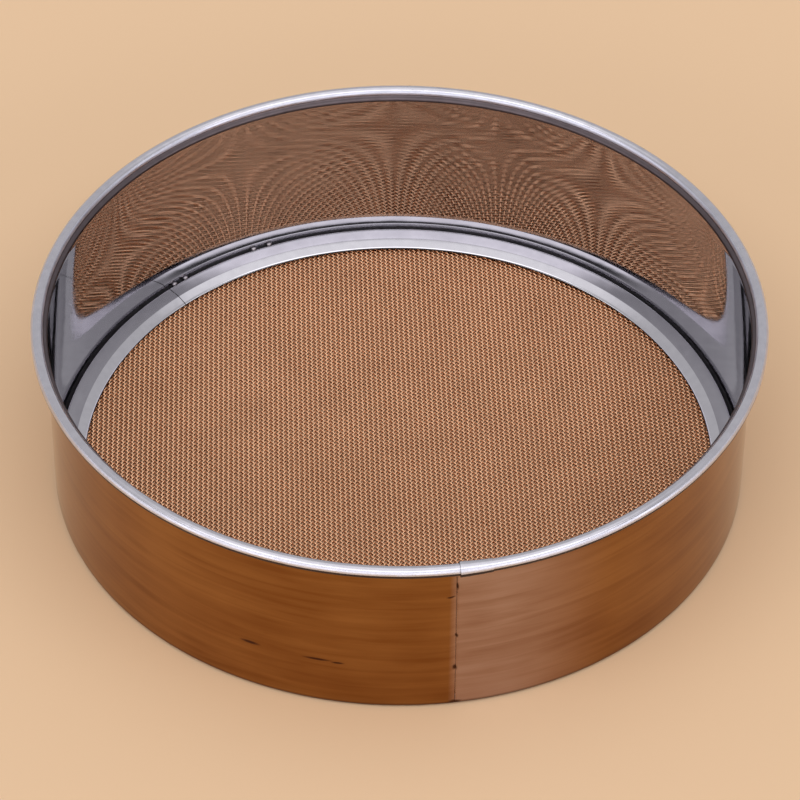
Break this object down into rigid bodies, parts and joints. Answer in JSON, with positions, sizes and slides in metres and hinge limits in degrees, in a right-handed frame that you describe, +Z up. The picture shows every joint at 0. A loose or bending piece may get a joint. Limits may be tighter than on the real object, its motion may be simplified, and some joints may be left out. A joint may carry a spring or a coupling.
{
  "type": "tamis drum sieve",
  "caption": "Round steel drum sieve: a straight hoop with a wired rim, a woven wire cloth across its foot and a ring that presses the cloth down.",
  "frame": {"origin": "centre of the face that the sieve rests on, under the middle of the hoop", "axes": "+Z up along the hoop's axis, from the foot to the rim; the front of the picture is towards -Y"},
  "size_m": [0.2, 0.2, 0.0546],
  "materials": {
    "polished_hoop": "mirror polished stainless steel sheet",
    "drawn_wire": "drawn stainless steel wire",
    "wire_cloth": "woven bright stainless steel wire",
    "pressed_ring": "bright rolled stainless steel strip"
  },
  "bodies": {
    "root": {"hoop": "polished_hoop", "rim_wire": "drawn_wire", "mesh_cloth": "wire_cloth", "retaining_ring": "pressed_ring"}
  },
  "joints": []
}
